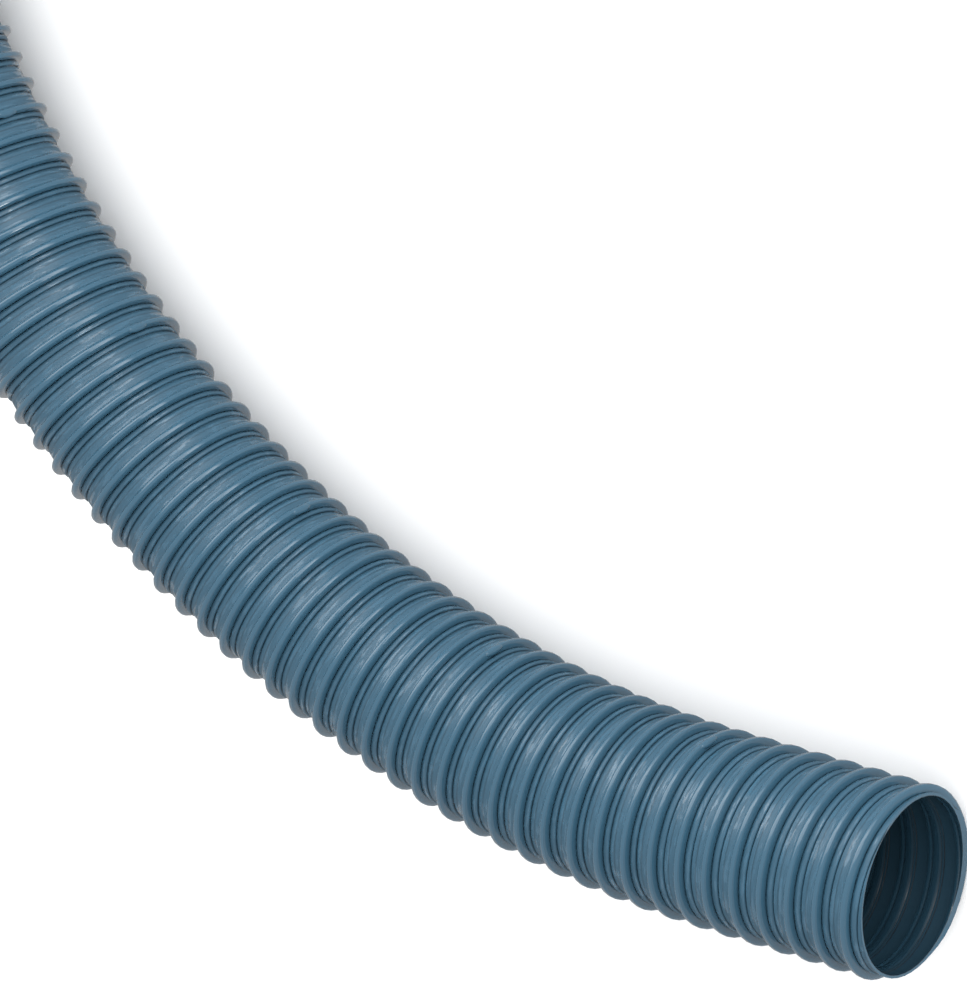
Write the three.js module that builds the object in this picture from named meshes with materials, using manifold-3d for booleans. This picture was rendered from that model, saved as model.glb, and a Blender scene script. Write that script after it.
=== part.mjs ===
// Blower duct hose: a plastic strip wound into a left-handed helix, with a round rib on every turn.
// It lies on the floor in the slow bend that it keeps from its shipping coil. Both ends are cut square.
// Millimetres, +Z up. The origin is on the floor, under the middle of the hose's bounding box.
// The open end that shows in front faces +X.
import * as THREE from 'three';
import { mergeVertices } from 'three/addons/utils/BufferGeometryUtils.js';
import Module from 'manifold-3d';

// Driving dimensions of the hose
const BORE_DIAMETER = 101.6;
const WALL = 1.1;
const RIB_HEIGHT = 5.2;
const RIB_BASE_WIDTH = 5.6;
const RIB_CROWN_WIDTH = 2.4;
const RIB_PITCH = 18.4;
const HOSE_LENGTH = 1524;

// Where the first rib stands, in turns behind the front end, on the side that faces the bend's centre
const FIRST_RIB_TURNS = 0.28;

// How the hose lies: a straight run behind the front end, an easing run, then one steady bend
const STRAIGHT_RUN = 95;
const EASING_RUN = 73;
const BEND_RADIUS = 665;

// Fineness of the solid
const SIDES = 16;
const BORE_STEP = 44;
const ROUTE_STEP = 1;

const BORE_RADIUS = BORE_DIAMETER / 2;
const BAND_RADIUS = BORE_RADIUS + WALL;
const RIB_RADIUS = BAND_RADIUS + RIB_HEIGHT;

// What the tools that make the bore and the square ends reach past them
const OVERSHOOT = 2 * RIB_PITCH;

const wasm = await Module();
wasm.setup();

// How far the centreline has turned from the front end's direction, a distance back along it.
function turnAt(distance) {
  const past = distance - STRAIGHT_RUN;
  if (past <= 0) {
    return 0;
  }
  if (past < EASING_RUN) {
    return past * past / (2 * EASING_RUN * BEND_RADIUS);
  }
  return (past - EASING_RUN / 2) / BEND_RADIUS;
}

// The centreline, walked in small steps from ahead of the front end to behind the far end.
function walkRoute() {
  const points = [];
  let x = OVERSHOOT;
  let y = 0;
  const steps = Math.ceil((HOSE_LENGTH + 2 * OVERSHOOT) / ROUTE_STEP);
  for (let i = 0; i <= steps; i += 1) {
    points.push(new THREE.Vector2(x, y));
    const turn = turnAt((i + 0.5) * ROUTE_STEP - OVERSHOOT);
    x -= Math.cos(turn) * ROUTE_STEP;
    y += Math.sin(turn) * ROUTE_STEP;
  }
  return points;
}

const route = walkRoute();

// The hose's section at a distance behind the front end: its centre, the way to the front end, and the
// level direction to the bend's centre.
function sectionAt(distance) {
  const place = (distance + OVERSHOOT) / ROUTE_STEP;
  const index = THREE.MathUtils.clamp(Math.floor(place), 0, route.length - 2);
  const flat = route[index].clone().lerp(route[index + 1], place - index);
  const turn = turnAt(distance);
  return {
    centre: new THREE.Vector3(flat.x, flat.y, RIB_RADIUS),
    forward: new THREE.Vector3(Math.cos(turn), -Math.sin(turn), 0),
    inward: new THREE.Vector3(Math.sin(turn), Math.cos(turn), 0),
  };
}

// A point of the hose: a distance behind the front end, an angle about the centreline that starts at
// the bend's inner side and rises over the top, and a radius.
function pointAt(distance, angle, radius) {
  const { centre, inward } = sectionAt(distance);
  return centre
    .addScaledVector(inward, radius * Math.cos(angle))
    .add(new THREE.Vector3(0, 0, radius * Math.sin(angle)));
}

function geometryFrom(points, triangles) {
  const geometry = new THREE.BufferGeometry();
  geometry.setAttribute('position', new THREE.Float32BufferAttribute(points.flatMap((p) => [p.x, p.y, p.z]), 3));
  geometry.setIndex(triangles.flat());
  return geometry;
}

// The outside as one solid: the strip's section repeated on every turn of the helix, closed at both
// ends by a fan about the centreline.
function ribbedSolid() {
  const profile = [
    { along: -RIB_BASE_WIDTH / 2, radius: BAND_RADIUS },
    { along: -RIB_CROWN_WIDTH / 2, radius: RIB_RADIUS },
    { along: RIB_CROWN_WIDTH / 2, radius: RIB_RADIUS },
    { along: RIB_BASE_WIDTH / 2, radius: BAND_RADIUS },
  ];
  const count = profile.length;
  const firstTurn = -Math.ceil(OVERSHOOT / RIB_PITCH) + FIRST_RIB_TURNS;
  const turns = Math.ceil((HOSE_LENGTH + OVERSHOOT) / RIB_PITCH) + 1;
  const last = turns * SIDES;
  const points = [];
  for (let step = 0; step <= last; step += 1) {
    const turn = firstTurn + step / SIDES;
    const angle = 2 * Math.PI * step / SIDES;
    for (const { along, radius } of profile) {
      points.push(pointAt(turn * RIB_PITCH + along, angle, radius));
    }
  }
  const at = (step, place) => step * count + place;
  const triangles = [];
  const addQuad = (a, b, c, d) => triangles.push([a, b, c], [a, c, d]);
  for (let step = 0; step < last; step += 1) {
    for (let place = 0; place < count - 1; place += 1) {
      addQuad(at(step, place), at(step, place + 1), at(step + 1, place + 1), at(step + 1, place));
    }
    if (step + SIDES < last) {
      addQuad(
        at(step, count - 1),
        at(step + SIDES, 0),
        at(step + SIDES + 1, 0),
        at(step + 1, count - 1),
      );
    }
  }

  // The ragged edge of the first turn, and that of the last one, each closed to a point.
  const frontEdge = [];
  for (let step = 0; step <= SIDES; step += 1) {
    frontEdge.push(at(step, 0));
  }
  const farEdge = [];
  for (let step = last; step >= last - SIDES; step -= 1) {
    farEdge.push(at(step, count - 1));
  }
  for (let place = count - 1; place > 0; place -= 1) {
    frontEdge.push(at(0, place));
    farEdge.push(at(last, count - 1 - place));
  }
  const closeEdge = (edge, distance) => {
    const centre = points.push(sectionAt(distance).centre) - 1;
    edge.forEach((point, i) => triangles.push([centre, point, edge[(i + 1) % edge.length]]));
  };
  closeEdge(frontEdge, (firstTurn + 0.5) * RIB_PITCH);
  closeEdge(farEdge, (firstTurn + turns - 0.5) * RIB_PITCH);
  return geometryFrom(points, triangles);
}

// The smooth bore as a solid that reaches past both ends.
function boreSolid() {
  const rings = Math.ceil((HOSE_LENGTH + OVERSHOOT) / BORE_STEP);
  const step = (HOSE_LENGTH + OVERSHOOT) / rings;
  const points = [];
  const triangles = [];
  for (let ring = 0; ring <= rings; ring += 1) {
    for (let side = 0; side < SIDES; side += 1) {
      points.push(pointAt(ring * step - OVERSHOOT / 2, 2 * Math.PI * side / SIDES, BORE_RADIUS));
    }
  }
  const at = (ring, side) => ring * SIDES + side % SIDES;
  for (let ring = 0; ring < rings; ring += 1) {
    for (let side = 0; side < SIDES; side += 1) {
      triangles.push([at(ring, side), at(ring + 1, side), at(ring + 1, side + 1)]);
      triangles.push([at(ring, side), at(ring + 1, side + 1), at(ring, side + 1)]);
    }
  }
  for (let side = 1; side < SIDES - 1; side += 1) {
    triangles.push([at(0, 0), at(0, side), at(0, side + 1)]);
    triangles.push([at(rings, 0), at(rings, side + 1), at(rings, side)]);
  }
  return geometryFrom(points, triangles);
}

// The block that cuts one end square. It stands ahead of the end, or behind it.
function endBlock(distance, side) {
  const { centre, forward } = sectionAt(distance);
  const depth = 4 * OVERSHOOT;
  const width = 4 * RIB_RADIUS;
  const block = new THREE.BoxGeometry(depth, width, width);
  block.translate(side * depth / 2, 0, 0);
  block.rotateZ(Math.atan2(forward.y, forward.x));
  block.translate(centre.x, centre.y, centre.z);
  return block;
}

function solidOf(geometry) {
  const bare = geometry.clone();
  bare.deleteAttribute('normal');
  bare.deleteAttribute('uv');
  const merged = mergeVertices(bare, 1e-5);
  const vertProperties = Float32Array.from(merged.attributes.position.array);
  const triVerts = Uint32Array.from(merged.index.array);
  return new wasm.Manifold(new wasm.Mesh({ numProp: 3, vertProperties, triVerts }));
}

function geometryOf(solid) {
  const mesh = solid.getMesh();
  const geometry = new THREE.BufferGeometry();
  geometry.setAttribute('position', new THREE.BufferAttribute(mesh.vertProperties, 3));
  geometry.setIndex(new THREE.BufferAttribute(mesh.triVerts, 1));
  geometry.computeVertexNormals();
  return geometry;
}

function buildHose() {
  const hose = solidOf(ribbedSolid())
    .subtract(solidOf(boreSolid()))
    .subtract(solidOf(endBlock(0, 1)))
    .subtract(solidOf(endBlock(HOSE_LENGTH, -1)));
  const plastic = new THREE.MeshStandardMaterial({ color: 0x4d6e81, roughness: 0.35, metalness: 0 });
  const mesh = new THREE.Mesh(geometryOf(hose), plastic);
  mesh.name = 'duct_hose';
  return mesh;
}

const ductHose = buildHose();
const middle = new THREE.Box3().setFromObject(ductHose).getCenter(new THREE.Vector3());
ductHose.position.set(-middle.x, -middle.y, 0);

const part = new THREE.Group();
part.add(ductHose);

export default part;
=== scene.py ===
"""Dresses the blower duct hose: its wound strip, its bore, its plastic, and the stage it is shown on."""

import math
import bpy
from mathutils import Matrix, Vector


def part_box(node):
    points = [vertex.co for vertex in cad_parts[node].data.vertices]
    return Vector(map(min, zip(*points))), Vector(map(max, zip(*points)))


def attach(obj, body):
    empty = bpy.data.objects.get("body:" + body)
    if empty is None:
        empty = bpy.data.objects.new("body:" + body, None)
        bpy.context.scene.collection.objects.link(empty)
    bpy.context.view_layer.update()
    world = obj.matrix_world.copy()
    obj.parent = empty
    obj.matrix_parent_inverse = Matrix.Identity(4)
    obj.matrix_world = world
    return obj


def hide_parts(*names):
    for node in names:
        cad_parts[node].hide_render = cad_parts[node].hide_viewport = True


bl_info = {
    "name": "Blower Duct Hose",
    "version": (1, 0, 0),
    "blender": (4, 5, 0),
    "location": "View3D > Sidebar > Duct Hose",
    "description": "Winds a ribbed plastic strip into a duct hose and sets the stage for its picture",
    "category": "Object",
}

import bpy
from bpy.props import (
    FloatProperty,
    FloatVectorProperty,
    IntProperty,
    PointerProperty,
)
from bpy.types import Operator, Panel, PropertyGroup
from mathutils import Euler, Vector

MM = 0.001
HOSE_NODE = "duct_hose"
STRIP_UV = "StripUV"
ROW_UV = "RowUV"
SHARP_ANGLE = math.radians(40)

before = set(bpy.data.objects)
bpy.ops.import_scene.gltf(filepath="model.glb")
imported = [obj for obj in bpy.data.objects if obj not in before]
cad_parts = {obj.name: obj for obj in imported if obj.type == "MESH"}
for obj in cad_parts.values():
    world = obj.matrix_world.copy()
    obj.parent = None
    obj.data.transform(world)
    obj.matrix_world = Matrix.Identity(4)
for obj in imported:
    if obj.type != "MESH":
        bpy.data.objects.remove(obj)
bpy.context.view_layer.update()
HOSE_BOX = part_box(HOSE_NODE)

# Steps along the centreline: of the curve that the shells follow, and the count of stretches of a coarser
# list of points along it, which the hose's operator works out but doesn't use.
ROUTE_STEP = 4 * MM
PATH_STRETCHES = 30

# The two shells stay this far apart at the wall's middle.
SHELL_GAP = 0.02 * MM
# The strip is wound on from this many turns ahead of the first rib, so that it runs past the front cut.
LEAD_TURNS = 2
# A point that would lie further than this past a cut counts as cut off.
CUT_TOLERANCE = 0.001 * MM
MERGE_DISTANCE = 0.01 * MM

# The rounded end of the rib at a splice: turns past the splice, distance toward the front end, height
# above the bore's wall, and half its size along the strip, across it and outward.
END_LAP = 0.016
END_OFFSET = 0.7 * MM
END_HEIGHT = 3.3 * MM
END_SIZE = (8.0 * MM, 2.6 * MM, 2.3 * MM)
END_SEGMENTS = 16
END_RINGS = 10

# The strip's outer face over one pitch: millimetres behind the rib's crown, and millimetres above the
# bore's wall. First the rib's back and its foot, last the lip's end, the crease and the rib's front.
RIB_BACK = (
    (0.0, 5.2),
    (1.15, 5.06),
    (1.9, 4.4),
    (2.35, 3.5),
    (2.65, 2.5),
    (2.95, 1.75),
    (3.4, 1.3),
    (4.3, 1.05),
)
RIB_FRONT = (
    (15.2, 0.95),
    (15.6, 0.7),
    (15.85, -0.42),
    (16.0, 0.9),
    (16.15, 2.4),
    (16.35, 3.5),
    (16.7, 4.4),
    (17.25, 5.06),
    (18.4, 5.2),
)
# Between them lie the band, the groove at the lip's free edge and the lip. The lip laps its neighbour by
# the straight relief's width, and on the inner side of a bend by the bent relief's.
STRAIGHT_RELIEF = RIB_BACK + (
    (6.5, 0.8),
    (9.3, 0.4),
    (11.1, 0.05),
    (11.35, -0.42),
    (11.55, 0.55),
    (11.85, 0.95),
    (13.3, 1.1),
) + RIB_FRONT
BENT_RELIEF = RIB_BACK + (
    (6.5, 0.85),
    (9.4, 0.75),
    (10.0, 0.65),
    (12.2, -0.42),
    (12.45, 0.55),
    (12.75, 0.95),
    (13.7, 1.1),
) + RIB_FRONT

# The strip's inner face over one pitch: millimetres behind the rib's crown, and how far it stands
# into the bore. Groove under the rib, ridge, band, seam, lip.
INNER_RELIEF = (
    (0.0, -0.42),
    (0.6, -0.45),
    (1.1, -0.4),
    (1.7, -0.12),
    (2.3, 0.0),
    (2.9, -0.08),
    (3.7, -0.32),
    (4.7, -0.42),
    (8.4, -0.28),
    (11.0, -0.2),
    (11.25, -0.45),
    (11.5, -0.14),
    (12.8, -0.12),
    (13.05, -0.43),
    (13.3, -0.24),
    (18.4, -0.42),
)

# Painted shade across the outer face, by the relief's points: the point's number, and strength. It darkens
# the crease at the rib's front foot, the groove at the lip's free edge and the slope before it in a bend,
# and a broken line on the band.
OUTER_SHADE = (
    (0.0, 0.0),
    (8.3, 0.0),
    (8.5, 0.5),
    (8.75, 0.0),
    (10.0, 0.0),
    (10.3, 0.25),
    (10.8, 0.3),
    (11.0, 0.85),
    (11.6, 0.7),
    (12.0, 0.1),
    (12.4, 0.0),
    (16.3, 0.0),
    (16.7, 0.9),
    (17.6, 0.9),
    (18.2, 0.1),
    (19.0, 0.0),
    (23.0, 0.0),
)
# Painted shade across the inner face, in the same way: dark in the groove under the rib, beside the ridge
# and along the two seams.
INNER_SHADE = (
    (0.0, 0.3),
    (1.0, 0.7),
    (2.4, 0.3),
    (3.4, 0.0),
    (5.2, 0.0),
    (6.4, 0.35),
    (7.6, 0.2),
    (8.9, 0.0),
    (9.1, 0.95),
    (10.9, 0.95),
    (11.05, 0.0),
    (11.95, 0.0),
    (12.1, 0.95),
    (13.9, 0.95),
    (14.02, 0.0),
    (15.0, 0.3),
)
# Where the band and the lip carry marks: share of the pitch behind the rib's crown, and strength.
BAND_MASK = (
    (0.0, 0.0),
    (0.17, 0.0),
    (0.20, 1.0),
    (0.80, 1.0),
    (0.83, 0.0),
    (1.0, 0.0),
)

# How far the creases' painted shade wavers across the strip, as a share of the relief's points.
RAGGEDNESS = 0.018
# A crease's painted shade: its strength where the noise that fades it is 0, and how much it gains where
# that is 1.
CREASE_LEAST = 0.55
CREASE_GAIN = 0.8
# How much more the shallow dents count than the die lines do.
DENT_WEIGHT = 1.6
# The patches' noise goes from dull to glossy between these values.
PATCH_EDGE = (0.53, 0.55)
COAT_ROUGHNESS = 0.12
# A Mix node's sockets for colours, which share their names with its sockets for numbers.
MIX_COLOUR_A = 6
MIX_COLOUR_B = 7
MIX_COLOUR_RESULT = 2

# Soft lights: place, the spot that each points at, its two sides in metres, and its watts.
SOFT_LIGHTS = {
    "left_light": ((-0.915, 0.88, 1.2), (0.33, -0.48, 0), (1.7, 1.3), 10),
    "right_light": ((0.79, 1.61, 0.96), (-0.1, -0.15, 0), (1.7, 1.3), 10),
    "left_low_light": ((-0.74, 0.7, 0.5), (0.33, -0.48, 0.05), (1.7, 0.7), 3.5),
    "right_low_light": ((0.62, 1.27, 0.5), (-0.1, -0.15, 0.05), (1.7, 0.7), 3.5),
    "mouth_light": ((1.1, 0.46, 1.0), (0.42, -0.48, 0.05), (0.45, 0.45), 6),
}
FLOOR_REACH = 6


class HoseSizes(PropertyGroup):
    """Sizes of the wound strip and of the route that the hose lies along"""

    bore_diameter: FloatProperty(
        name="Bore", description="Clear diameter inside the hose",
        default=101.6 * MM, subtype="DISTANCE", unit="LENGTH",
    )
    wall: FloatProperty(
        name="Wall", description="Thickness of the plastic strip",
        default=1.1 * MM, subtype="DISTANCE", unit="LENGTH",
    )
    rib_height: FloatProperty(
        name="Rib height", description="How far the rib stands above the band",
        default=5.2 * MM, subtype="DISTANCE", unit="LENGTH",
    )
    rib_pitch: FloatProperty(
        name="Rib pitch", description="From one rib to the next along the hose",
        default=18.4 * MM, subtype="DISTANCE", unit="LENGTH",
    )
    length: FloatProperty(
        name="Length", description="Length of the hose along its centreline",
        default=1.524, subtype="DISTANCE", unit="LENGTH",
    )
    first_rib_turns: FloatProperty(
        name="First rib", description="Turns from the front end to the first rib, on the bend's inner side",
        default=0.28,
    )
    straight_run: FloatProperty(
        name="Straight run", description="Length behind the front end that isn't bent",
        default=95 * MM, subtype="DISTANCE", unit="LENGTH",
    )
    easing_run: FloatProperty(
        name="Easing run", description="Length over which the bend sets in",
        default=73 * MM, subtype="DISTANCE", unit="LENGTH",
    )
    bend_radius: FloatProperty(
        name="Bend radius", description="Radius of the bend that the hose keeps from its shipping coil",
        default=665 * MM, subtype="DISTANCE", unit="LENGTH",
    )
    sides: IntProperty(
        name="Sides", description="Straight sides that stand for one turn of the strip",
        default=48, min=12,
    )
    first_splice: FloatProperty(
        name="First splice", description="Turns from the front end to the first splice of the strip",
        default=7.285,
    )
    splice_every: FloatProperty(
        name="Splice spacing", description="Turns from one splice to the next",
        default=9.0, min=1.0,
    )


class HoseFinish(PropertyGroup):
    """Colours and gloss of the plastic, outside and in the bore"""

    colour: FloatVectorProperty(
        name="Colour", description="Blue grey of the plastic",
        default=(0.0318, 0.0905, 0.141), size=3, subtype="COLOR", min=0.0, max=1.0,
    )
    # Painted shade: the colour that the creases and grooves are darkened toward, outside and in the bore.
    crease_shade_colour: FloatVectorProperty(
        name="Crease shade colour", description="Colour in the creases and along the lip's free edge",
        default=(0.0045, 0.011, 0.018), size=3, subtype="COLOR", min=0.0, max=1.0,
    )
    patch_gloss: FloatProperty(
        name="Patch gloss", description="How much smoother the glossy patches are",
        default=0.2, min=0.0, max=1.0,
    )
    # Painted sheen: the glossy patches' colour is made paler by this share.
    patch_sheen_tint: FloatProperty(
        name="Patch sheen tint", description="How much paler the glossy patches are",
        default=0.16, min=0.0, max=1.0,
    )
    patch_coat: FloatProperty(
        name="Patch coat", description="Clear skin on the glossy patches", default=1.0, min=0.0, max=1.0,
    )
    rib_coat: FloatProperty(
        name="Rib coat", description="Clear skin on the rib", default=0.9, min=0.0, max=1.0,
    )
    # Painted shade: the bore is the same plastic, its colour darkened to this share of the outside's.
    bore_shaded_share: FloatProperty(
        name="Bore shaded share", description="How much of the outside's colour the bore shows",
        default=0.45, min=0.0, max=1.0,
    )
    bore_marks: FloatProperty(
        name="Bore marks", description="How strongly the bore shows the strip's lines and patches",
        default=0.15, min=0.0, max=1.0,
    )
    roughness: FloatProperty(
        name="Roughness", description="Roughness of the band and the lip", default=0.38, min=0.0, max=1.0,
    )
    rib_roughness: FloatProperty(
        name="Rib roughness", description="Roughness of the rib", default=0.17, min=0.0, max=1.0,
    )
    streaks: FloatProperty(
        name="Streaks", description="How much the colour varies across the strip",
        default=0.5, min=0.0, max=2.0,
    )
    line_depth: FloatProperty(
        name="Line depth", description="Depth of the fine lines that the die leaves along the strip",
        default=0.2 * MM, subtype="DISTANCE", unit="LENGTH", precision=5,
    )


class StageSettings(PropertyGroup):
    """Camera, floor and the light of the white surroundings"""

    camera_offset: FloatVectorProperty(
        name="Camera place", description="Camera place, from the floor point under the front end's middle",
        default=(1.3843, 1.2158, 2.2636), size=3, subtype="TRANSLATION", unit="LENGTH",
    )
    camera_turn: FloatVectorProperty(
        name="Camera turn", description="Camera rotation",
        default=(math.radians(-21.142), math.radians(37.046), math.radians(-0.741)),
        size=3, subtype="EULER",
    )
    lens: FloatProperty(
        name="Lens", description="Focal length of the camera in millimetres", default=190.0,
    )
    fill: FloatProperty(
        name="Fill", description="Strength of the white surroundings as a light", default=1.4, min=0.0,
    )
    reflected_fill: FloatProperty(
        name="Reflected fill", description="Strength of the surroundings in reflections",
        default=0.4, min=0.0,
    )
    floor_colour: FloatVectorProperty(
        name="Floor colour", description="Pale colour of the plain floor",
        default=(0.95, 0.95, 0.95), size=3, subtype="COLOR", min=0.0, max=1.0,
    )


# Route

def turn_at(sizes, distance):
    """How far the centreline has turned from the front end's direction, a distance back along it."""
    past = distance - sizes.straight_run
    if past <= 0:
        return 0.0
    if past < sizes.easing_run:
        return past * past / (2 * sizes.easing_run * sizes.bend_radius)
    return (past - sizes.easing_run / 2) / sizes.bend_radius


def rib_radius(sizes):
    """Radius of the hose over the rib's crown."""
    return sizes.bore_diameter / 2 + sizes.wall + sizes.rib_height


def front_centre(sizes):
    """Middle of the front end: at the box's far +X side, with the straight run along its -Y side."""
    radius = rib_radius(sizes)
    return Vector((HOSE_BOX[1][0], HOSE_BOX[0][1] + radius, radius))


def route_points(sizes, step):
    """Points along the centreline from the front end to the far end, a step apart."""
    count = round(sizes.length / step)
    substeps = 8
    stride = sizes.length / (count * substeps)
    place = front_centre(sizes)
    points = [place.copy()]
    for i in range(count * substeps):
        turn = turn_at(sizes, (i + 0.5) * stride)
        place += Vector((-math.cos(turn), math.sin(turn), 0)) * stride
        if (i + 1) % substeps == 0:
            points.append(place.copy())
    return points


def make_route(sizes):
    """The centreline as a curve of short straight steps, for the node trees to sample."""
    points = route_points(sizes, ROUTE_STEP)
    data = bpy.data.curves.new("hose_route", "CURVE")
    data.dimensions = "3D"
    spline = data.splines.new("POLY")
    spline.points.add(len(points) - 1)
    for spot, point in zip(spline.points, points):
        spot.co = (*point, 1.0)
    return bpy.data.objects.new("hose_route", data)


# Geometry nodes

class TreeMaker:
    """Adds nodes to a tree and joins them, so that a formula reads in its own order."""

    def __init__(self, tree):
        self.tree = tree

    def node(self, kind, **settings):
        """A new node with the given settings."""
        made = self.tree.nodes.new(kind)
        for name, value in settings.items():
            setattr(made, name, value)
        return made

    def join(self, source, target):
        """Link an output to an input, or give the input a plain number."""
        if isinstance(source, (int, float)):
            target.default_value = source
        else:
            self.tree.links.new(source, target)

    def math(self, operation, *values):
        """The result of one sum, on outputs or plain numbers."""
        made = self.node("ShaderNodeMath", operation=operation)
        for socket, value in zip(made.inputs, values):
            self.join(value, socket)
        return made.outputs[0]

    def scaled(self, vector, factor):
        """A vector times a number."""
        made = self.node("ShaderNodeVectorMath", operation="SCALE")
        self.join(vector, made.inputs[0])
        self.join(factor, made.inputs["Scale"])
        return made.outputs[0]

    def summed(self, first, second):
        """Two vectors added."""
        made = self.node("ShaderNodeVectorMath", operation="ADD")
        self.join(first, made.inputs[0])
        self.join(second, made.inputs[1])
        return made.outputs[0]

    def combined(self, x, y, z):
        """A vector from its three parts."""
        made = self.node("ShaderNodeCombineXYZ")
        for socket, value in zip(made.inputs, (x, y, z)):
            self.join(value, socket)
        return made.outputs[0]

    def curve(self, value, points):
        """A Float Curve with straight stretches between the given points, over 0 to 1."""
        made = self.node("ShaderNodeFloatCurve")
        line = made.mapping.curves[0]
        made.mapping.use_clip = False
        while len(line.points) < len(points):
            line.points.new(0.5, 0.5)
        for spot, (x, y) in zip(line.points, sorted(points)):
            spot.location = (x, y)
            spot.handle_type = "VECTOR"
        made.mapping.update()
        self.join(value, made.inputs["Value"])
        return made.outputs[0]


def new_tree(name, sockets):
    """A geometry node tree with the named inputs, and one geometry output."""
    tree = bpy.data.node_groups.new(name, "GeometryNodeTree")
    tree.is_modifier = True
    for label, kind in sockets:
        tree.interface.new_socket(label, in_out="INPUT", socket_type=kind)
    tree.interface.new_socket("Geometry", in_out="OUTPUT", socket_type="NodeSocketGeometry")
    return tree


# The two shells

class ShellMaker(TreeMaker):
    """Lays one face of the wound strip about the route, with what closes it into a shell.

    The relief repeats over every turn of a left-handed helix. Past the first splice it goes over into
    the bent relief on the bend's inner side. Past the cut ends each point stays on the cut, at the
    radius that the strip has there.
    """

    def __init__(self, tree, straight_relief, bent_relief):
        super().__init__(tree)
        self.given = self.node("NodeGroupInput").outputs
        self.route = self.node("GeometryNodeObjectInfo", transform_space="ORIGINAL")
        self.join(self.given["Route"], self.route.inputs["Object"])
        self.reliefs = (straight_relief, bent_relief)
        self.rows = len(straight_relief)
        self.pitch_mm = straight_relief[-1][0]
        heights = [height for relief in self.reliefs for _, height in relief]
        self.low = min(heights)
        self.high = max(heights)

    def around(self, turn):
        """Angle about the hose, from the bend's inner side over the top."""
        return self.math("MULTIPLY", self.math("SUBTRACT", turn, self.given["First Rib"]), 2 * math.pi)

    def either(self, turn, value, points_of):
        """A curve's value, between the straight relief's and the bent one's."""
        straight, bent = [self.curve(value, points_of(relief)) for relief in self.reliefs]
        past = self.math("GREATER_THAN", turn, self.given["First Splice"])
        inner = self.math("MULTIPLY_ADD", self.math("COSINE", self.around(turn)), 0.5, 0.5)
        rise = self.math("SUBTRACT", bent, straight)
        return self.math("MULTIPLY_ADD", self.math("MULTIPLY", past, inner), rise, straight)

    def share_of(self, height):
        """A height as its share of the reliefs' range of heights."""
        return (height - self.low) / (self.high - self.low)

    def radius_from(self, share):
        """Radius of a point, from its share of that range."""
        height = self.math("MULTIPLY_ADD", share, (self.high - self.low) * MM, self.low * MM)
        return self.math("MULTIPLY_ADD", height, self.given["Relief Scale"], self.given["Base Radius"])

    def radius_at(self, distance, turn):
        """Radius of the relief at a distance behind the front end, on the column of a given turn."""
        pitches = self.math("DIVIDE", distance, self.given["Pitch"])
        phase = self.math("FRACT", self.math("SUBTRACT", pitches, turn))
        return self.radius_from(self.either(turn, phase, lambda relief: [
            (behind / self.pitch_mm, self.share_of(height)) for behind, height in relief
        ]))

    def sampled(self, distance):
        """The route's point and its backward direction, and the level way to the bend's inner side."""
        sample = self.node("GeometryNodeSampleCurve", mode="LENGTH")
        self.join(self.route.outputs["Geometry"], sample.inputs["Curves"])
        self.join(distance, sample.inputs["Length"])
        crossed = self.node("ShaderNodeVectorMath", operation="CROSS_PRODUCT")
        self.join(sample.outputs["Tangent"], crossed.inputs[0])
        crossed.inputs[1].default_value = (0, 0, 1)
        level = self.node("ShaderNodeVectorMath", operation="NORMALIZE")
        self.join(crossed.outputs[0], level.inputs[0])
        return sample.outputs["Position"], sample.outputs["Tangent"], level.outputs[0]

    def placed(self, distance, turn, radius):
        """Position of a point about the route."""
        centre, _, level = self.sampled(distance)
        angle = self.around(turn)
        sideways = self.scaled(level, self.math("MULTIPLY", radius, self.math("COSINE", angle)))
        upwards = self.combined(0, 0, self.math("MULTIPLY", radius, self.math("SINE", angle)))
        return self.summed(centre, self.summed(sideways, upwards))

    def grid(self, columns, rows, size_x):
        """A flat grid, with each point's X about its middle and its share of the way along Y."""
        made = self.node("GeometryNodeMeshGrid")
        self.join(size_x, made.inputs["Size X"])
        made.inputs["Size Y"].default_value = 1.0
        self.join(columns, made.inputs["Vertices X"])
        self.join(rows, made.inputs["Vertices Y"])
        spot = self.node("ShaderNodeSeparateXYZ")
        self.join(self.node("GeometryNodeInputPosition").outputs[0], spot.inputs[0])
        return made.outputs["Mesh"], spot.outputs["X"], self.math("ADD", spot.outputs["Y"], 0.5)

    def moved(self, mesh, position, along, across, row):
        """The mesh laid in its place, with its place on the strip kept as two UV maps."""
        for label, value in ((STRIP_UV, across), (ROW_UV, row)):
            marked = self.node("GeometryNodeStoreNamedAttribute", data_type="FLOAT2", domain="CORNER")
            marked.inputs["Name"].default_value = label
            self.join(mesh, marked.inputs["Geometry"])
            self.join(self.combined(along, value, 0), marked.inputs["Value"])
            mesh = marked.outputs["Geometry"]
        laid = self.node("GeometryNodeSetPosition")
        self.join(mesh, laid.inputs["Geometry"])
        self.join(position, laid.inputs["Position"])
        return laid.outputs["Geometry"]

    def flipped(self, mesh):
        """The mesh with its faces turned the other way."""
        made = self.node("GeometryNodeFlipFaces")
        self.join(mesh, made.inputs["Mesh"])
        return made.outputs["Mesh"]

    def joined(self, pieces):
        """The pieces as one geometry, in their order."""
        made = self.node("GeometryNodeJoinGeometry")
        for piece in pieces:
            self.join(piece, made.inputs["Geometry"])
        return made.outputs["Geometry"]


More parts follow.
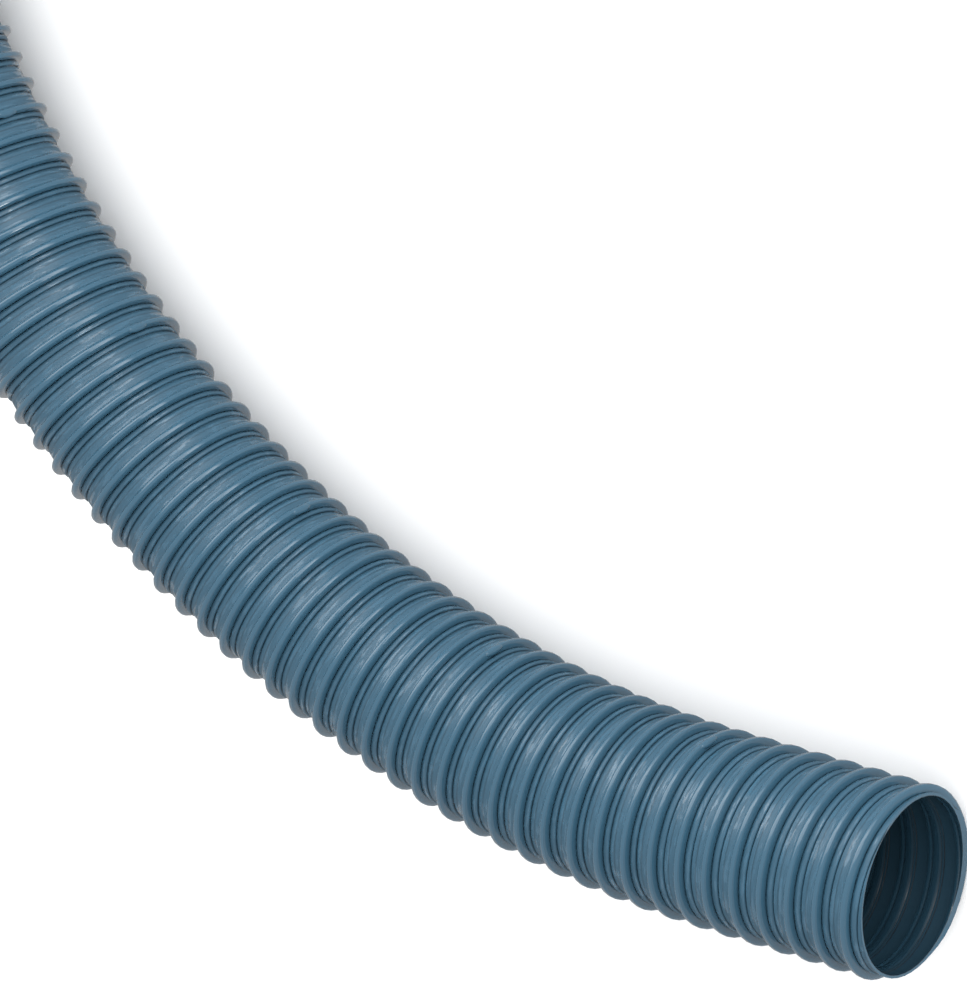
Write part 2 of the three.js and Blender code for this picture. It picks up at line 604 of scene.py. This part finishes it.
def relief_face(make):
    """The strip's relief, wound on with one column of the grid for each side of a turn."""
    given = make.given
    columns = make.math("MULTIPLY", given["Turns"], given["Sides"])
    mesh, x, across = make.grid(make.math("ADD", columns, 1), make.rows, given["Turns"])
    half = make.math("MULTIPLY", given["Turns"], 0.5)
    start = make.math("SUBTRACT", given["First Rib"], LEAD_TURNS)
    turn = make.math("ADD", make.math("ADD", x, half), start)
    last = make.rows - 1
    phase = make.either(turn, across, lambda relief: [
        (row / last, behind / make.pitch_mm) for row, (behind, _) in enumerate(relief)
    ])
    share = make.either(turn, across, lambda relief: [
        (row / last, make.share_of(height)) for row, (_, height) in enumerate(relief)
    ])
    free = make.math("MULTIPLY", make.math("ADD", turn, phase), given["Pitch"])
    distance = make.math("MINIMUM", make.math("MAXIMUM", free, 0), given["Length"])
    cut_radius = make.radius_at(distance, turn)
    past = make.math("ABSOLUTE", make.math("SUBTRACT", free, distance))
    off = make.math("GREATER_THAN", past, CUT_TOLERANCE)
    whole_radius = make.radius_from(share)
    step = make.math("SUBTRACT", cut_radius, whole_radius)
    radius = make.math("MULTIPLY_ADD", off, step, whole_radius)
    return make.moved(mesh, make.placed(distance, turn, radius), turn, phase, across)


def shell_back(make):
    """The back of the shell, a plain tube with a ring at every second pitch."""
    given = make.given
    pitches = make.math("CEIL", make.math("DIVIDE", given["Length"], given["Pitch"]))
    rings = make.math("MULTIPLY", pitches, 0.5)
    mesh, x, share = make.grid(make.math("ADD", given["Sides"], 1), rings, 1.0)
    turn = make.math("ADD", x, given["First Rib"])
    distance = make.math("MULTIPLY", share, given["Length"])
    return make.moved(mesh, make.placed(distance, turn, given["Back Radius"]), turn, 0, 0)


def shell_cut(make, end):
    """The flat cut between the relief and the back, at the front end, 0, or the far end, 1."""
    given = make.given
    mesh, x, share = make.grid(make.math("ADD", given["Sides"], 1), 2, 1.0)
    turn = make.math("ADD", x, given["First Rib"])
    distance = make.math("MULTIPLY", given["Length"], end)
    wound_turn = make.math("ADD", turn, make.math("MULTIPLY", given["Turns"], end))
    span = make.math("SUBTRACT", make.radius_at(distance, wound_turn), given["Back Radius"])
    side = share if end else make.math("SUBTRACT", 1, share)
    radius = make.math("MULTIPLY_ADD", side, span, given["Back Radius"])
    return make.moved(mesh, make.placed(distance, turn, radius), turn, 0, 0)


def creased(make, mesh):
    """The mesh shaded smooth, apart from the edges where its faces meet sharply."""
    smooth = make.node("GeometryNodeSetShadeSmooth", domain="FACE")
    make.join(mesh, smooth.inputs["Geometry"])
    bend = make.node("FunctionNodeCompare", data_type="FLOAT", operation="GREATER_THAN")
    make.join(make.node("GeometryNodeInputMeshEdgeAngle").outputs["Unsigned Angle"], bend.inputs["A"])
    bend.inputs["B"].default_value = SHARP_ANGLE
    sharp = make.node("GeometryNodeSetShadeSmooth", domain="EDGE")
    make.join(smooth.outputs["Geometry"], sharp.inputs["Geometry"])
    make.join(bend.outputs["Result"], sharp.inputs["Selection"])
    sharp.inputs["Shade Smooth"].default_value = False
    return sharp.outputs["Geometry"]


def end_ball(make):
    """One rounded end, as a ball drawn out along X."""
    ball = make.node("GeometryNodeMeshUVSphere")
    ball.inputs["Segments"].default_value = END_SEGMENTS
    ball.inputs["Rings"].default_value = END_RINGS
    ball.inputs["Radius"].default_value = 1.0
    drawn = make.node("GeometryNodeTransform")
    make.join(ball.outputs["Mesh"], drawn.inputs["Geometry"])
    drawn.inputs["Scale"].default_value = END_SIZE
    smooth = make.node("GeometryNodeSetShadeSmooth", domain="FACE")
    make.join(drawn.outputs["Geometry"], smooth.inputs["Geometry"])
    return smooth.outputs["Geometry"]


def strip_ends(make):
    """The rounded end of the strip's rib at each splice, laid along the rib."""
    given = make.given
    line = make.node("GeometryNodeMeshLine")
    make.join(given["Splices"], line.inputs["Count"])
    index = make.node("GeometryNodeInputIndex").outputs[0]
    first = make.math("ADD", given["First Splice"], END_LAP)
    turn = make.math("MULTIPLY_ADD", index, given["Splice Every"], first)
    along = make.math("MULTIPLY", turn, given["Pitch"])
    distance = make.math("SUBTRACT", along, END_OFFSET)
    radius = make.math("ADD", given["Base Radius"], END_HEIGHT)
    spots = make.node("GeometryNodeSetPosition")
    make.join(line.outputs["Mesh"], spots.inputs["Geometry"])
    make.join(make.placed(distance, turn, radius), spots.inputs["Position"])

    _, backward, level = make.sampled(distance)
    cosine = make.math("COSINE", make.around(turn))
    sine = make.math("SINE", make.around(turn))
    outward = make.summed(make.scaled(level, cosine), make.combined(0, 0, sine))
    round_way = make.summed(
        make.scaled(level, make.math("MULTIPLY", sine, -1)), make.combined(0, 0, cosine)
    )
    lead = make.math("DIVIDE", given["Pitch"], make.math("MULTIPLY", radius, 2 * math.pi))
    turned = make.node("FunctionNodeAxesToRotation", primary_axis="X", secondary_axis="Z")
    make.join(make.summed(round_way, make.scaled(backward, lead)), turned.inputs[0])
    make.join(outward, turned.inputs[1])

    laid = make.node("GeometryNodeInstanceOnPoints")
    make.join(spots.outputs["Geometry"], laid.inputs["Points"])
    make.join(end_ball(make), laid.inputs["Instance"])
    make.join(turned.outputs["Rotation"], laid.inputs["Rotation"])
    return laid.outputs["Instances"]


def wall_tree(name, straight_relief, bent_relief, faces_out):
    """The node tree of one shell, with the rounded ends of the strip on it."""
    tree = new_tree(name, [
        ("Route", "NodeSocketObject"),
        ("Material", "NodeSocketMaterial"),
        ("Length", "NodeSocketFloat"),
        ("Pitch", "NodeSocketFloat"),
        ("First Rib", "NodeSocketFloat"),
        ("First Splice", "NodeSocketFloat"),
        ("Base Radius", "NodeSocketFloat"),
        ("Relief Scale", "NodeSocketFloat"),
        ("Back Radius", "NodeSocketFloat"),
        ("Splice Every", "NodeSocketFloat"),
        ("Splices", "NodeSocketInt"),
        ("Sides", "NodeSocketInt"),
        ("Turns", "NodeSocketInt"),
    ])
    make = ShellMaker(tree, straight_relief, bent_relief)
    face = relief_face(make)
    back = make.flipped(shell_back(make))
    shell = make.joined([face, back, shell_cut(make, 0), shell_cut(make, 1)])
    if faces_out:
        shell = make.flipped(shell)
    merged = make.node("GeometryNodeMergeByDistance")
    make.join(shell, merged.inputs["Geometry"])
    merged.inputs["Distance"].default_value = MERGE_DISTANCE
    whole = make.joined([creased(make, merged.outputs["Geometry"]), strip_ends(make)])
    realized = make.node("GeometryNodeRealizeInstances")
    make.join(whole, realized.inputs["Geometry"])
    coated = make.node("GeometryNodeSetMaterial")
    make.join(realized.outputs["Geometry"], coated.inputs["Geometry"])
    make.join(make.given["Material"], coated.inputs["Material"])
    make.join(coated.outputs["Geometry"], make.node("NodeGroupOutput").inputs["Geometry"])
    return tree


def grown(name, tree, values):
    """A plain mesh object made by a node tree with the given input values."""
    seed = bpy.data.objects.new(name + "_seed", bpy.data.meshes.new(name + "_seed"))
    bpy.context.scene.collection.objects.link(seed)
    nodes = seed.modifiers.new("Build", "NODES")
    nodes.node_group = tree
    for item in tree.interface.items_tree:
        if item.in_out == "INPUT" and item.name in values:
            nodes[item.identifier] = values[item.name]
    graph = bpy.context.evaluated_depsgraph_get()
    mesh = bpy.data.meshes.new_from_object(
        seed.evaluated_get(graph), preserve_all_data_layers=True, depsgraph=graph
    )
    mesh.name = name
    bpy.data.objects.remove(seed)
    piece = bpy.data.objects.new(name, mesh)
    bpy.context.scene.collection.objects.link(piece)
    return piece


# Plastic

def strip_marks():
    """Masks that follow the strip: its wavering creases for the painted shade, fine die lines, dents and
    gloss patches.
    """
    tree = bpy.data.node_groups.new("Strip Marks", "ShaderNodeTree")
    for label in ("Place", "Row Place"):
        tree.interface.new_socket(label, in_out="INPUT", socket_type="NodeSocketVector")
    for label in ("Pitch", "Girth", "Raggedness"):
        tree.interface.new_socket(label, in_out="INPUT", socket_type="NodeSocketFloat")
    for label in ("Row", "Breaks", "Band", "Gloss", "Streaks", "Height"):
        tree.interface.new_socket(label, in_out="OUTPUT", socket_type="NodeSocketFloat")
    make = TreeMaker(tree)
    given = make.node("NodeGroupInput").outputs
    result = make.node("NodeGroupOutput").inputs
    split = make.node("ShaderNodeSeparateXYZ")
    make.join(given["Place"], split.inputs[0])
    row_split = make.node("ShaderNodeSeparateXYZ")
    make.join(given["Row Place"], row_split.inputs[0])
    along = make.math("MULTIPLY", split.outputs["X"], given["Girth"])
    across = make.math("MULTIPLY", split.outputs["Y"], given["Pitch"])

    def noise(along_rate, across_rate, detail, roughness):
        """Noise over the strip, with its rates a millimetre along the strip and across it."""
        made = make.node("ShaderNodeTexNoise", noise_dimensions="3D")
        x = make.math("MULTIPLY", along, along_rate)
        y = make.math("MULTIPLY", across, across_rate)
        make.join(make.combined(x, y, 0), made.inputs["Vector"])
        made.inputs["Scale"].default_value = 1.0
        made.inputs["Detail"].default_value = detail
        made.inputs["Roughness"].default_value = roughness
        return made.outputs["Fac"]

    # The painted shade in the creases and along the lip's free edge wavers along the strip, and fades here
    # and there.
    wave = noise(along_rate=0.5, across_rate=0, detail=2, roughness=0.6)
    waver = make.math("MULTIPLY", make.math("SUBTRACT", wave, 0.5), given["Raggedness"])
    make.join(make.math("ADD", row_split.outputs["Y"], waver), result["Row"])
    breaks = noise(along_rate=0.11, across_rate=0.3, detail=2, roughness=0.6)
    make.join(make.math("MULTIPLY_ADD", breaks, CREASE_GAIN, CREASE_LEAST), result["Breaks"])

    # No marks on the rib, where one turn's map ends and the next one's starts.
    band = make.curve(split.outputs["Y"], BAND_MASK)
    make.join(band, result["Band"])

    # Gloss comes in ragged patches, drawn out along the strip.
    patch = make.node("ShaderNodeMapRange", interpolation_type="SMOOTHSTEP")
    make.join(noise(along_rate=0.05, across_rate=0.36, detail=5, roughness=0.68), patch.inputs["Value"])
    patch.inputs["From Min"].default_value, patch.inputs["From Max"].default_value = PATCH_EDGE
    make.join(make.math("MULTIPLY", patch.outputs["Result"], band), result["Gloss"])

    # Fine die lines, over the shallow dents of a strip that was wound while warm.
    lines = noise(along_rate=0.008, across_rate=1.3, detail=3, roughness=0.75)
    make.join(make.math("MULTIPLY", make.math("SUBTRACT", lines, 0.5), band), result["Streaks"])
    dents = noise(along_rate=0.06, across_rate=0.16, detail=1, roughness=0.5)
    height = make.math("MULTIPLY_ADD", dents, DENT_WEIGHT, lines)
    make.join(make.math("MULTIPLY", height, band), result["Height"])
    return tree


def hose_plastic(name, strip, finish, sizes, shade_points, shaded_share, marks_share):
    """Blue grey plastic with fine die lines along the strip and gloss that varies in ragged patches.

    The shade points paint shade into its creases and grooves by the relief's points. The shares say how
    much of the outside's colour a face keeps under painted shade, and how much of its marks it shows.
    """
    plastic = bpy.data.materials.new(name)
    plastic.use_nodes = True
    make = TreeMaker(plastic.node_tree)
    surface = plastic.node_tree.nodes["Principled BSDF"]
    marks = make.node("ShaderNodeGroup")
    marks.node_tree = strip
    make.join(make.node("ShaderNodeUVMap", uv_map=STRIP_UV).outputs["UV"], marks.inputs["Place"])
    make.join(make.node("ShaderNodeUVMap", uv_map=ROW_UV).outputs["UV"], marks.inputs["Row Place"])
    marks.inputs["Pitch"].default_value = sizes.rib_pitch / MM
    marks.inputs["Girth"].default_value = 2 * math.pi * (sizes.bore_diameter / 2 + sizes.wall) / MM
    marks.inputs["Raggedness"].default_value = RAGGEDNESS

    # Painted shade: dark in the creases and grooves, which fade here and there.
    last = shade_points[-1][0]
    creases = make.curve(marks.outputs["Row"], [(number / last, depth) for number, depth in shade_points])
    shade = make.math("MINIMUM", make.math("MULTIPLY", creases, marks.outputs["Breaks"]), 1.0)

    # Streaked by the die lines, and painted paler on the glossy patches as a painted sheen.
    streaked = make.node("ShaderNodeHueSaturation")
    # The plain colour, darkened to the shaded share as painted shade in the bore.
    plain = [share * shaded_share for share in finish.colour]
    streaked.inputs["Color"].default_value = (*plain, 1.0)
    paler = make.math("MULTIPLY_ADD", marks.outputs["Gloss"], finish.patch_sheen_tint * marks_share, 1.0)
    streaks = finish.streaks * marks_share
    make.join(make.math("MULTIPLY_ADD", marks.outputs["Streaks"], streaks, paler), streaked.inputs["Value"])
    tint = make.node("ShaderNodeMix", data_type="RGBA")
    make.join(shade, tint.inputs["Factor"])
    make.join(streaked.outputs["Color"], tint.inputs[MIX_COLOUR_A])
    tint.inputs[MIX_COLOUR_B].default_value = (*finish.crease_shade_colour, 1.0)
    make.join(tint.outputs[MIX_COLOUR_RESULT], surface.inputs["Base Color"])

    # The rib is smoother than the band, and each patch is smoother than the band about it.
    added = finish.roughness - finish.rib_roughness
    rough = make.math("MULTIPLY_ADD", marks.outputs["Band"], added, finish.rib_roughness)
    rough = make.math("MULTIPLY_ADD", marks.outputs["Gloss"], -finish.patch_gloss * marks_share, rough)
    make.join(rough, surface.inputs["Roughness"])
    patch_coat = finish.patch_coat * marks_share
    patches = make.math("MULTIPLY_ADD", marks.outputs["Gloss"], patch_coat, finish.rib_coat)
    coat = make.math("MULTIPLY_ADD", marks.outputs["Band"], -finish.rib_coat, patches)
    make.join(coat, surface.inputs["Coat Weight"])
    surface.inputs["Coat Roughness"].default_value = COAT_ROUGHNESS

    bump = make.node("ShaderNodeBump")
    bump.inputs["Strength"].default_value = 1.0
    bump.inputs["Distance"].default_value = finish.line_depth * marks_share
    make.join(marks.outputs["Height"], bump.inputs["Height"])
    make.join(bump.outputs["Normal"], surface.inputs["Normal"])
    return plastic


# Operators

def wall_values(sizes, route):
    """The node trees' inputs that both shells share."""
    return {
        "Route": route,
        "Length": sizes.length,
        "Pitch": sizes.rib_pitch,
        "First Rib": sizes.first_rib_turns,
        "First Splice": sizes.first_splice,
        "Splice Every": sizes.splice_every,
        "Sides": sizes.sides,
        "Turns": math.ceil(sizes.length / sizes.rib_pitch) + LEAD_TURNS,
    }


class DUCTHOSE_OT_wind_hose(Operator):
    """Wind the ribbed strip into the hose, as one shell for its outside and one for its bore"""

    bl_idname = "ducthose.wind_hose"
    bl_label = "Wind Hose"

    def execute(self, context):
        sizes = context.scene.duct_hose_sizes
        finish = context.scene.duct_hose_finish
        route = make_route(sizes)
        context.scene.collection.objects.link(route)
        shared = wall_values(sizes, route)
        strip = strip_marks()
        bore_radius = sizes.bore_diameter / 2
        middle = bore_radius + sizes.wall / 2
        spliced_turns = sizes.length / sizes.rib_pitch - sizes.first_splice
        outside = grown("hose_outside", wall_tree("Hose Outside", STRAIGHT_RELIEF, BENT_RELIEF, True), {
            **shared,
            "Material": hose_plastic("hose_plastic", strip, finish, sizes, OUTER_SHADE, 1.0, 1.0),
            "Base Radius": bore_radius + sizes.wall,
            "Relief Scale": sizes.rib_height / (RIB_BACK[0][1] * MM),
            "Back Radius": middle,
            "Splices": 1 + int(spliced_turns / sizes.splice_every),
        })
        # The bore's plastic is the outside's plastic darkened as painted shade, with fainter marks.
        lining = grown("hose_lining", wall_tree("Hose Lining", INNER_RELIEF, INNER_RELIEF, False), {
            **shared,
            "Material": hose_plastic(
                "shaded_bore_plastic", strip, finish, sizes, INNER_SHADE, finish.bore_shaded_share, finish.bore_marks
            ),
            "Base Radius": bore_radius,
            "Relief Scale": -1.0,
            "Back Radius": middle - SHELL_GAP,
            "Splices": 0,
        })
        bpy.data.objects.remove(route)
        for piece in (outside, lining):
            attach(piece, "root")
        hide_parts(HOSE_NODE)
        path = route_points(sizes, sizes.length / PATH_STRETCHES)
        return {"FINISHED"}


def soft_light(name, place, target, size, power):
    """A rectangular area light that the camera doesn't see."""
    data = bpy.data.lights.new(name, "AREA")
    data.shape = "RECTANGLE"
    data.size, data.size_y = size
    data.energy = power
    lamp = bpy.data.objects.new(name, data)
    lamp.location = place
    lamp.rotation_euler = (Vector(target) - Vector(place)).to_track_quat("-Z", "Y").to_euler()
    lamp.visible_camera = False
    bpy.context.scene.collection.objects.link(lamp)


class DUCTHOSE_OT_set_stage(Operator):
    """Set the camera, the plain floor and the soft light"""

    bl_idname = "ducthose.set_stage"
    bl_label = "Set Stage"

    def execute(self, context):
        scene = context.scene
        stage = scene.duct_hose_stage
        foot = front_centre(scene.duct_hose_sizes)
        foot.z = 0
        camera = bpy.data.objects.new("camera", bpy.data.cameras.new("camera"))
        camera.data.lens = stage.lens
        camera.data.sensor_width = 36
        camera.data.clip_end = 50
        camera.location = foot + Vector(stage.camera_offset)
        camera.rotation_euler = Euler(stage.camera_turn)
        scene.collection.objects.link(camera)
        scene.camera = camera

        floor_mesh = bpy.data.meshes.new("floor")
        corners = [(x * FLOOR_REACH, y * FLOOR_REACH, 0) for x, y in ((-1, -1), (1, -1), (1, 1), (-1, 1))]
        floor_mesh.from_pydata(corners, [], [(0, 1, 2, 3)])
        floor = bpy.data.objects.new("floor", floor_mesh)
        paint = bpy.data.materials.new("floor_paint")
        paint.use_nodes = True
        paint_surface = paint.node_tree.nodes["Principled BSDF"]
        paint_surface.inputs["Base Color"].default_value = (*stage.floor_colour, 1.0)
        paint_surface.inputs["Roughness"].default_value = 0.9
        floor_mesh.materials.append(paint)
        floor.visible_glossy = False
        scene.collection.objects.link(floor)

        world = bpy.data.worlds.new("studio")
        world.use_nodes = True
        make = TreeMaker(world.node_tree)
        sky = world.node_tree.nodes["Background"]
        sky.inputs["Color"].default_value = (1.0, 1.0, 1.0, 1.0)
        glossy = make.node("ShaderNodeLightPath").outputs["Is Glossy Ray"]
        strength = make.math("MULTIPLY_ADD", glossy, stage.reflected_fill - stage.fill, stage.fill)
        make.join(strength, sky.inputs["Strength"])
        scene.world = world
        for name, (place, target, size, power) in SOFT_LIGHTS.items():
            soft_light(name, place, target, size, power)
        scene.view_settings.view_transform = "Standard"
        return {"FINISHED"}


class DUCTHOSE_PT_panel(Panel):
    """The hose's sizes, its finish and its stage, with a button for each operator"""

    bl_idname = "DUCTHOSE_PT_panel"
    bl_label = "Duct Hose"
    bl_space_type = "VIEW_3D"
    bl_region_type = "UI"
    bl_category = "Duct Hose"

    def draw(self, context):
        layout = self.layout
        for group in (
            context.scene.duct_hose_sizes,
            context.scene.duct_hose_finish,
            context.scene.duct_hose_stage,
        ):
            box = layout.box()
            for name in group.__annotations__:
                box.prop(group, name)
        layout.operator(DUCTHOSE_OT_set_stage.bl_idname)
        layout.operator(DUCTHOSE_OT_wind_hose.bl_idname)


CLASSES = (
    HoseSizes,
    HoseFinish,
    StageSettings,
    DUCTHOSE_OT_wind_hose,
    DUCTHOSE_OT_set_stage,
    DUCTHOSE_PT_panel,
)


def register():
    for cls in CLASSES:
        bpy.utils.register_class(cls)
    bpy.types.Scene.duct_hose_sizes = PointerProperty(type=HoseSizes)
    bpy.types.Scene.duct_hose_finish = PointerProperty(type=HoseFinish)
    bpy.types.Scene.duct_hose_stage = PointerProperty(type=StageSettings)


def unregister():
    del bpy.types.Scene.duct_hose_stage
    del bpy.types.Scene.duct_hose_finish
    del bpy.types.Scene.duct_hose_sizes
    for cls in reversed(CLASSES):
        bpy.utils.unregister_class(cls)


def main():
    register()
    bpy.ops.ducthose.set_stage()
    bpy.ops.ducthose.wind_hose()


if __name__ == "__main__":
    main()
